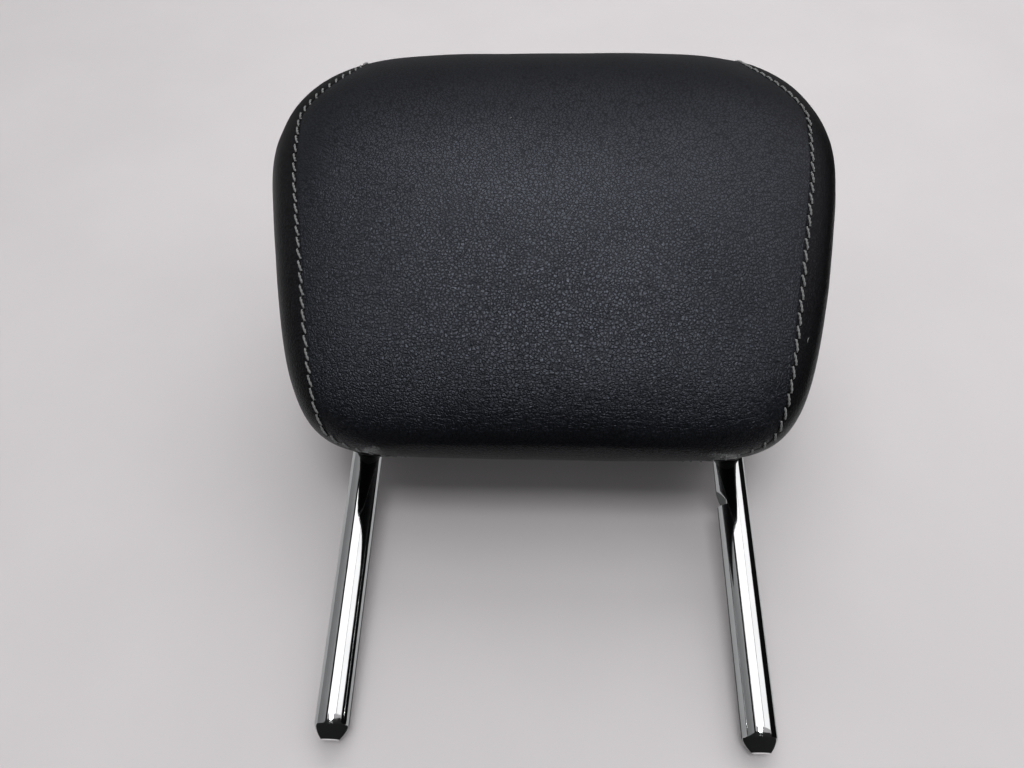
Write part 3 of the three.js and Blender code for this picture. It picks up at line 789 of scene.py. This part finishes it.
def fibre(x, y, length, turn, skins):
    """Rings of points of a short bent fibre that lies on the cover."""
    right, up, forward = camera_axes()
    focal = CAMERA_LENS / SENSOR_WIDTH * PICTURE_WIDTH
    ray = forward + right * (x - PICTURE_MIDDLE[0]) / focal + up * (PICTURE_MIDDLE[1] - y) / focal
    hits = [skin.ray_cast(CAMERA_PLACE, ray.normalized()) for skin in skins]
    middle, normal, _, _ = min((hit for hit in hits if hit[0]), key=hit_distance)
    angle = math.radians(turn)
    heading = right * math.cos(angle) + up * math.sin(angle)
    heading = (heading - normal * heading.dot(normal)).normalized()
    sideways = normal.cross(heading)
    points = []
    for step in range(FIBRE_STEPS + 1):
        share = step / FIBRE_STEPS * 2 - 1
        bend = FIBRE_BEND * (1 - share * share)
        centre = middle + (heading * share + sideways * bend) * length * MM / 2 + normal * FIBRE_RADIUS
        radius = FIBRE_RADIUS * (1 - FIBRE_TAPER * share * share)
        for side in range(FIBRE_SIDES):
            round_turn = side / FIBRE_SIDES * 2 * math.pi
            points.append(centre + (sideways * math.cos(round_turn) + normal * math.sin(round_turn)) * radius)
    return points


def fibres(name, places, skins):
    points, faces = [], []
    for x, y, length, turn in places:
        base = len(points)
        points += fibre(x, y, length, turn, skins)
        faces += tube_faces(FIBRE_STEPS + 1, FIBRE_SIDES, base)
    return mesh_object(name, points, faces)


# Materials

# The part of a noise's range that most of it lies in
NOISE_LOW = 0.3
NOISE_HIGH = 0.7
# Darker and paler colours
# The needle holes' two colours are painted shade for the hollows of the holes.
HOLE_SHADE_COLOURS = ((0.0015, 0.0015, 0.0015, 1), (0.005, 0.005, 0.005, 1))
THREAD_COLOURS = ((0.09, 0.091, 0.093, 1), (0.29, 0.292, 0.296, 1))
CHROME_COLOURS = ((0.52, 0.53, 0.535, 1), (0.58, 0.59, 0.595, 1))
FOAM_COLOURS = ((0.14, 0.14, 0.13, 1), (0.21, 0.21, 0.19, 1))
# Painted shade for the foam's pore hollows.
PORE_SHADE_COLOUR = (0.05, 0.05, 0.05, 1)
STEEL_COLOURS = ((0.38, 0.39, 0.41, 1), (0.55, 0.56, 0.57, 1))
# Leather: darker and paler colour, depth of the grain, tint and strength of the shine
FACE_LEATHER = ((0.0034, 0.0037, 0.0048, 1), (0.0068, 0.0074, 0.0094, 1), 0.13 * MM, (0.79, 0.84, 1, 1), 0.46)
SIDE_LEATHER = ((0.003, 0.003, 0.0034, 1), (0.0056, 0.0056, 0.0062, 1), 0.11 * MM, (0.83, 0.85, 1, 1), 0.17)
# Moulded plastic: darker and paler colour, lowest and highest roughness, scale and depth of the texture
TRIM = ((0.012, 0.012, 0.013, 1), (0.02, 0.02, 0.021, 1), 0.38, 0.52, 1800.0, 0.05 * MM)
CARRIER = ((0.014, 0.014, 0.015, 1), (0.024, 0.024, 0.025, 1), 0.42, 0.6, 900.0, 0.08 * MM)


def empty_material(name):
    material = bpy.data.materials.new(name)
    material.use_nodes = True
    tree = material.node_tree
    tree.nodes.clear()
    return material, tree, tree.nodes.new("ShaderNodeOutputMaterial")


def shader(name):
    material, tree, output = empty_material(name)
    surface = tree.nodes.new("ShaderNodeBsdfPrincipled")
    tree.links.new(surface.outputs["BSDF"], output.inputs["Surface"])
    return material, tree, surface


def feed(tree, node, inputs):
    """Links or sets a node's inputs."""
    for key, value in inputs.items():
        if isinstance(value, bpy.types.NodeSocket):
            tree.links.new(value, node.inputs[key])
        else:
            node.inputs[key].default_value = value


def add_node(tree, kind, inputs=None, **settings):
    node = tree.nodes.new("ShaderNode" + kind)
    for key, value in settings.items():
        setattr(node, key, value)
    feed(tree, node, inputs or {})
    return node


def place(tree, stretch=(1, 1, 1)):
    """Where a point lies on the object, in metres, stretched along the axes."""
    where = add_node(tree, "TexCoord")
    moved = add_node(tree, "Mapping", {"Vector": where.outputs["Object"], "Scale": stretch})
    return moved.outputs["Vector"]


def noise(tree, where, scale, detail=3.0, roughness=0.55):
    made = add_node(tree, "TexNoise", {"Vector": where, "Scale": scale, "Detail": detail,
                                       "Roughness": roughness})
    return made.outputs["Fac"]


def map_range(tree, value, low, high, to_low, to_high, smoothly=False):
    kind = "SMOOTHSTEP" if smoothly else "LINEAR"
    node = add_node(tree, "MapRange", {"Value": value, "From Min": low, "From Max": high,
                                       "To Min": to_low, "To Max": to_high}, interpolation_type=kind)
    return node.outputs["Result"]


def spread(tree, value, low, high):
    """A noise stretched so that most of it runs from a low to a high value."""
    return map_range(tree, value, NOISE_LOW, NOISE_HIGH, low, high)


def add_bump(tree, surface, height, strength, depth, invert=False):
    bump = add_node(tree, "Bump", {"Height": height, "Strength": strength, "Distance": depth}, invert=invert)
    feed(tree, surface, {"Normal": bump.outputs["Normal"]})


def maths(tree, operation, first, second):
    return add_node(tree, "Math", {0: first, 1: second}, operation=operation).outputs["Value"]


def mix_colour(tree, share, first, second):
    node = add_node(tree, "Mix", {"Factor": share, "A": first, "B": second}, data_type="RGBA")
    return node.outputs["Result"]


def height_share(tree, low, high):
    """How high a point lies on the object, from 0 at the low height to 1 at the high one."""
    where = add_node(tree, "TexCoord")
    parts = add_node(tree, "SeparateXYZ", {"Vector": where.outputs["Object"]})
    return map_range(tree, parts.outputs["Z"], low, high, 0.0, 1.0, True)


def pebbles(tree, where, scale):
    """Rounded pebbles between fine creases."""
    cells = add_node(tree, "TexVoronoi", {"Vector": where, "Scale": scale}, feature="DISTANCE_TO_EDGE")
    return map_range(tree, cells.outputs["Distance"], 0.0, 0.22, 0.0, 1.0, True)


WANDER_SCALE = 420.0
WANDER_REACH = 1.1 * MM
PEBBLE_SCALE = 720.0
FINE_PEBBLE_SCALE = 1500.0
FINE_PEBBLE_SHARE = 0.4
CREASE_SCALE = 1000.0
CREASE_STRETCH = (0.22, 1, 1)
CREASE_SHARE = 1.3
CREASE_SHARE_ABOVE = 0.35
CREASE_SHADE = 0.42
PATCH_SCALE = 28.0
PATCH_STRENGTH = 0.75
GRAIN_FADED_HEIGHT = 0.235
GRAIN_FULL_HEIGHT = 0.15
FADED_GRAIN = 0.4
ROUGHNESS_SCALE = 2600.0
LEATHER_ROUGHNESS = (0.33, 0.41)


def leather(name, base, light, grain_depth, tint, shine):
    """Grained leather: pebbles that fade towards the crown, and creases across the pad lower down. The
    creases between pebbles get painted shade, in a darker base colour and a darker reflection tint.
    """
    material, tree, surface = shader(name)
    plain = place(tree)
    wander = add_node(tree, "TexNoise", {"Vector": plain, "Scale": WANDER_SCALE, "Detail": 2.0})
    wandered = {0: wander.outputs["Color"], "Scale": WANDER_REACH}
    bent = add_node(tree, "VectorMath", wandered, operation="SCALE")
    moved = add_node(tree, "VectorMath", {0: plain, 1: bent.outputs["Vector"]}, operation="ADD")
    coarse = pebbles(tree, moved.outputs["Vector"], PEBBLE_SCALE)
    fine = pebbles(tree, moved.outputs["Vector"], FINE_PEBBLE_SCALE)
    across = noise(tree, place(tree, CREASE_STRETCH), CREASE_SCALE, 2.0)
    patches = noise(tree, plain, PATCH_SCALE, 3.0)
    lower = height_share(tree, GRAIN_FADED_HEIGHT, GRAIN_FULL_HEIGHT)
    height = maths(tree, "ADD", coarse, maths(tree, "MULTIPLY", fine, FINE_PEBBLE_SHARE))
    creases = maths(tree, "MULTIPLY", across, maths(tree, "ADD", lower, CREASE_SHARE_ABOVE))
    height = maths(tree, "ADD", height, maths(tree, "MULTIPLY", creases, CREASE_SHARE))
    stronger = maths(tree, "MULTIPLY", lower, 1 - FADED_GRAIN)
    strength = maths(tree, "MULTIPLY", spread(tree, patches, PATCH_STRENGTH, 1.0),
                     maths(tree, "ADD", stronger, FADED_GRAIN))
    height = maths(tree, "MULTIPLY", height, strength)
    add_bump(tree, surface, height, 1.0, grain_depth)
    colour = mix_colour(tree, spread(tree, patches, 0.0, 0.5), base, light)
    # Painted shade in the base colour: lighter on pebble tops, darker in the creases between them.
    colour = mix_colour(tree, maths(tree, "MULTIPLY", coarse, 0.3), colour, light)
    rougher = spread(tree, noise(tree, plain, ROUGHNESS_SCALE, 1.0), *LEATHER_ROUGHNESS)
    # Painted shade: the reflection's tint darkens in the creases between pebbles.
    crease_shade_tint = tuple(part * CREASE_SHADE for part in tint[:3]) + (1,)
    feed(tree, surface, {"Base Color": colour, "Roughness": rougher, "Specular IOR Level": shine,
                         "Specular Tint": mix_colour(tree, coarse, crease_shade_tint, tint)})
    return material


# Near black painted shade for the needle holes, mottled by noise.
def hole_shade_material():
    material, tree, surface = shader("needle_hole_painted_shade")
    hole_shade_mottle = noise(tree, place(tree), 3000.0, 2.0)
    colour = mix_colour(tree, hole_shade_mottle, *HOLE_SHADE_COLOURS)
    feed(tree, surface, {"Base Color": colour, "Roughness": 0.9, "Specular IOR Level": 0.05})
    return material


def thread_material():
    material, tree, surface = shader("thread_grey")
    fuzz = noise(tree, place(tree), 4200.0, 3.0, 0.7)
    colour = mix_colour(tree, map_range(tree, fuzz, 0.35, 0.7, 0.0, 1.0), *THREAD_COLOURS)
    add_bump(tree, surface, fuzz, 0.7, 0.12 * MM)
    feed(tree, surface, {"Base Color": colour, "Roughness": 0.78, "Sheen Weight": 0.25})
    return material


def chrome_material():
    material, tree, surface = shader("chrome")
    lines = noise(tree, place(tree, (1, 1, 0.03)), 5200.0, 2.0)
    cloud = noise(tree, place(tree), 60.0, 3.0)
    worn = maths(tree, "MULTIPLY", lines, cloud)
    roughness = map_range(tree, worn, 0.15, 0.4, 0.025, 0.075)
    colour = mix_colour(tree, spread(tree, cloud, 0.0, 1.0), *CHROME_COLOURS)
    add_bump(tree, surface, lines, 0.12, 0.02 * MM)
    feed(tree, surface, {"Base Color": colour, "Roughness": roughness, "Metallic": 1.0})
    return material


def moulded_material(name, dark, pale, smoothest, roughest, texture_scale, depth):
    material, tree, surface = shader(name)
    grain = noise(tree, place(tree), texture_scale, 3.0, 0.6)
    cloud = noise(tree, place(tree), 40.0, 2.0)
    colour = mix_colour(tree, spread(tree, cloud, 0.0, 1.0), dark, pale)
    add_bump(tree, surface, grain, 0.6, depth)
    feed(tree, surface, {"Base Color": colour, "Roughness": spread(tree, grain, smoothest, roughest)})
    return material


def foam_material():
    material, tree, surface = shader("foam_grey")
    cells = add_node(tree, "TexVoronoi", {"Vector": place(tree), "Scale": 900.0})
    pore_hollows_and_shade = map_range(tree, cells.outputs["Distance"], 0.15, 0.5, 1.0, 0.0, True)
    cloud = noise(tree, place(tree), 35.0, 3.0)
    colour = mix_colour(tree, spread(tree, cloud, 0.0, 1.0), *FOAM_COLOURS)
    # Painted shade: the colour darkens towards near black in the pore hollows, which the bump also sinks.
    colour = mix_colour(tree, maths(tree, "MULTIPLY", pore_hollows_and_shade, 0.6), colour, PORE_SHADE_COLOUR)
    add_bump(tree, surface, pore_hollows_and_shade, 0.8, 0.4 * MM, invert=True)
    feed(tree, surface, {"Base Color": colour, "Roughness": 0.95})
    return material


def steel_material():
    material, tree, surface = shader("zinc_steel")
    cloud = noise(tree, place(tree), 900.0, 3.0)
    feed(tree, surface, {"Base Color": mix_colour(tree, cloud, *STEEL_COLOURS), "Metallic": 1.0,
                         "Roughness": spread(tree, cloud, 0.28, 0.45)})
    return material


# Stage

BACKGROUND = (0.64, 0.613, 0.62, 1)
MOTTLE_TONE = 0.965
AMBIENT = (0.55, 0.55, 0.56, 1)
AMBIENT_STRENGTH = 0.5


def one_sided(name, fade_start, fade_end):
    """A pale surface that holds shadows, seen only from its front, and gone between two distances."""
    material, tree, output = empty_material(name)
    mottled = noise(tree, place(tree), 9.0, 5.0)
    darker = tuple(part * MOTTLE_TONE for part in BACKGROUND[:3]) + (1,)
    tone = mix_colour(tree, map_range(tree, mottled, 0.35, 0.65, 0.0, 1.0), BACKGROUND, darker)
    pale = add_node(tree, "BsdfDiffuse", {"Color": tone})
    clear = add_node(tree, "BsdfTransparent")
    facing = add_node(tree, "NewGeometry")
    away = add_node(tree, "VectorMath", {0: place(tree)}, operation="LENGTH")
    faded = map_range(tree, away.outputs["Value"], fade_start, fade_end, 0.0, 1.0, True)
    unseen = maths(tree, "MAXIMUM", facing.outputs["Backfacing"], faded)
    either = add_node(tree, "MixShader", {0: unseen, 1: pale.outputs[0], 2: clear.outputs[0]})
    feed(tree, output, {"Surface": either.outputs[0]})
    return material


def stage_sheet(name, corners, material):
    mesh = bpy.data.meshes.new(name)
    mesh.from_pydata([tuple(c) for c in corners], [], [(0, 1, 2, 3)])
    sheet = add_object(name, mesh)
    sheet.data.materials.append(material)
    return sheet


TABLE_LEAN = math.radians(8.0)
TABLE_START = 8.5 * MM
FLOOR_DROP = 0.6 * MM
STAGE_REACH = 3.0
TABLE_FADE = (0.85, 1.4)
FLOOR_FADE = (0.35, 0.9)


def make_stage():
    reach = STAGE_REACH
    around = ((-reach, -reach), (reach, -reach), (reach, reach), (-reach, reach))
    table = stage_sheet("table", [(x, TABLE_START + z * math.tan(TABLE_LEAN), z) for x, z in around],
                        one_sided("pale_table", *TABLE_FADE))
    floor = stage_sheet("floor", [(x, y, -FLOOR_DROP) for x, y in around],
                        one_sided("pale_floor", *FLOOR_FADE))
    for sheet in (table, floor):
        sheet.visible_shadow = False
        sheet.visible_diffuse = False
        sheet.visible_glossy = False


LAMP_TARGET = Vector((0, -0.03, 0.15))
# Lamps: azimuth and elevation in degrees, distance, width and height in metres, power in watts
LAMPS = (
    ("low_window", 0, -7, 1.45, 0.55, 0.32, 6.5),
    ("window", 1, 8.5, 1.5, 1.5, 0.74, 4.8),
    ("pale_wall", 49, 8.5, 1.5, 0.96, 0.74, 2.4),
)
GLOW = ("window_glow", 0, -8, 1.45, 0.55, 0.32, 9.5)
UNREFLECTED_LAMPS = (
    ("key", 8, 44, 1.5, 1.3, 0.9, 8.5),
    ("ceiling", 0, 84, 1.5, 1.5, 1.5, 4.5),
    ("rear_wall", -145, 24, 1.5, 1.3, 1.0, 4),
)


def soft_light(name, azimuth, elevation, distance, width, height, power):
    """An area light. Azimuth 0 stands in front of the face and 90 stands on the +X side."""
    a, e = math.radians(azimuth), math.radians(elevation)
    heading = Vector((math.sin(a) * math.cos(e), -math.cos(a) * math.cos(e), math.sin(e)))
    lamp = bpy.data.lights.new(name, "AREA")
    lamp.shape = "RECTANGLE"
    lamp.size = width
    lamp.size_y = height
    lamp.energy = power
    light = add_object(name, lamp)
    light.visible_camera = False
    light.location = LAMP_TARGET + distance * heading
    light.rotation_mode = "QUATERNION"
    light.rotation_quaternion = (-heading).to_track_quat("-Z", "Y")
    return light


CARD_DISTANCE = 1.1
CARD_TOP = 1.4
CARD_FOOT = -0.1
REAR_CARD_FOOT = -0.05
BLACK_TONE = 0.008
UNEVENNESS = 0.15
# Upright cards: azimuths of both ends in degrees, height of the foot, tone
UPRIGHT_CARDS = (
    ("dark_side", 69, 122, CARD_FOOT, BLACK_TONE),
    ("dark_strip", -38, -28, CARD_FOOT, BLACK_TONE),
    ("grey_left", -98, -38, CARD_FOOT, 0.5),
    ("grey_rear_left", -156, -98, REAR_CARD_FOOT, 0.7),
    ("grey_rear_right", 122, 156, REAR_CARD_FOOT, 0.8),
    ("dark_rear", 156, 204, REAR_CARD_FOOT, 0.15),
)
# Level cards: half the width, height, front edge, back edge, tone
LEVEL_CARDS = (
    ("dark_low", 2.0, -0.05, -1.2, 0.15, 0.03),
    # The card behind is painted shade: a dark card that reflections see in place of the table in the pad's
    # shade.
    ("dark_behind", 0.25, -0.05, 0.15, 0.5, 0.03),
    ("grey_above", 0.9, 1.0, -0.7, 1.2, 0.3),
)


def upright_card(name, start, end, foot, tone):
    """An upright card that only reflections see, between two azimuths and up from a height."""
    points = []
    for azimuth, height in ((start, foot), (end, foot), (end, CARD_TOP), (start, CARD_TOP)):
        angle = math.radians(azimuth)
        points.append((CARD_DISTANCE * math.sin(angle), -CARD_DISTANCE * math.cos(angle), height))
    return toned_card(name, points, tone)


def toned_card(name, points, tone):
    material, tree, surface = shader(name)
    uneven = noise(tree, place(tree), 8.0, 2.0)
    low, high = tone * (1 - UNEVENNESS), tone * (1 + UNEVENNESS)
    colour = mix_colour(tree, uneven, (low, low, low, 1), (high, high, high, 1))
    feed(tree, surface, {"Base Color": colour, "Roughness": 1.0, "Specular IOR Level": 0.0})
    card = stage_sheet(name, points, material)
    for kind in ("camera", "diffuse", "shadow", "transmission"):
        setattr(card, f"visible_{kind}", False)
    return card


def level_card(name, half, height, front, back, tone):
    """A level card that only reflections see, that reaches half its width to both sides."""
    return toned_card(name, [(-half, front, height), (half, front, height), (half, back, height),
                             (-half, back, height)], tone)


def make_lights():
    for lamp in LAMPS:
        soft_light(*lamp)
    soft_light(*GLOW).visible_diffuse = False
    for lamp in UNREFLECTED_LAMPS:
        soft_light(*lamp).visible_glossy = False
    for card in UPRIGHT_CARDS:
        upright_card(*card)
    for card in LEVEL_CARDS:
        level_card(*card)


def make_world():
    world = bpy.data.worlds.new("studio")
    bpy.context.scene.world = world
    world.use_nodes = True
    tree = world.node_tree
    tree.nodes.clear()
    ambient = add_node(tree, "Background", {"Color": AMBIENT, "Strength": AMBIENT_STRENGTH})
    backdrop = add_node(tree, "Background", {"Color": BACKGROUND, "Strength": 1.0})
    rays = add_node(tree, "LightPath")
    seen = maths(tree, "MAXIMUM", rays.outputs["Is Camera Ray"], rays.outputs["Is Glossy Ray"])
    seen = maths(tree, "MAXIMUM", seen, rays.outputs["Is Transmission Ray"])
    either = add_node(tree, "MixShader", {0: seen, 1: ambient.outputs[0], 2: backdrop.outputs[0]})
    add_node(tree, "OutputWorld", {"Surface": either.outputs[0]})


def camera_axes():
    """The camera's right, up and forward directions."""
    pitch, yaw, roll = CAMERA_PITCH, CAMERA_YAW, CAMERA_ROLL
    forward = Vector((math.sin(yaw) * math.cos(pitch), math.cos(yaw) * math.cos(pitch), math.sin(pitch)))
    level = forward.cross(Vector((0, 0, 1))).normalized()
    upright = level.cross(forward)
    right = level * math.cos(roll) + upright * math.sin(roll)
    up = upright * math.cos(roll) - level * math.sin(roll)
    return right, up, forward


def make_camera():
    right, up, forward = camera_axes()
    data = bpy.data.cameras.new("camera")
    data.lens = CAMERA_LENS
    data.sensor_width = SENSOR_WIDTH
    data.clip_start = 0.01
    camera = add_object("camera", data)
    rotation = Matrix((right, up, -forward)).transposed().to_4x4()
    camera.matrix_world = Matrix.Translation(CAMERA_PLACE) @ rotation
    bpy.context.scene.camera = camera


POST_HOLE_RADIUS = POST_RADIUS + 2.2 * MM
POST_HOLE_DEPTH = 0.12
POST_HOLE_HEIGHT = 0.13


def post_hole(side):
    """A cutter for the hole that the post's sleeve takes in the cover."""
    bpy.ops.mesh.primitive_cylinder_add(vertices=64, radius=POST_HOLE_RADIUS, depth=POST_HOLE_DEPTH,
                                        location=(side * POST_X, 0, POST_HOLE_HEIGHT))
    return bpy.context.object


def build():
    face_leather = leather("face_leather", *FACE_LEATHER)
    side_leather = leather("side_leather", *SIDE_LEATHER)
    swell = simulated_swell()
    centre = finish_piece(centre_panel(swell), face_leather, ["cover_centre_panel"])
    thread = thread_material()
    hole = hole_shade_material()
    trim = moulded_material("trim_black", *TRIM)
    cover = []
    for side, word in SIDE_WORDS.items():
        panel = side_panel(side, swell)
        graph = bpy.context.evaluated_depsgraph_get()
        skins = [BVHTree.FromObject(piece, graph) for piece in (panel, centre)]
        cover += skins
        cut_with(panel, post_hole(side))
        finish_piece(panel, side_leather, [f"cover_side_panel_{word}"])
        seam = finish_piece(stitches(side, swell), thread, [f"topstitch_{word}"])
        paint_hole_shade(seam, hole)
        finish_piece(bezel(side, skins), trim, [f"post_bezel_{word}"])
    finish_piece(fibres("lint", PALE_LINT, cover), thread)
    finish_piece(fibres("specks", DARK_SPECKS, cover), trim)
    finish_piece(post_frame(), chrome_material(), ["post_frame"])
    carrier = moulded_material("carrier_black", *CARRIER)
    steel = steel_material()
    foam = foam_material()
    for name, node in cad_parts.items():
        finish = carrier
        if name.startswith("carrier_screw"):
            finish = steel
        elif name.startswith("foam_core"):
            finish = foam
        elif name.startswith("closure_strip"):
            finish = trim
        node.data.materials.clear()
        node.data.materials.append(finish)


bpy.context.scene.view_settings.view_transform = "Standard"
make_camera()
build()
make_stage()
make_lights()
make_world()


def corners(box):
    return [list(corner) for corner in box]
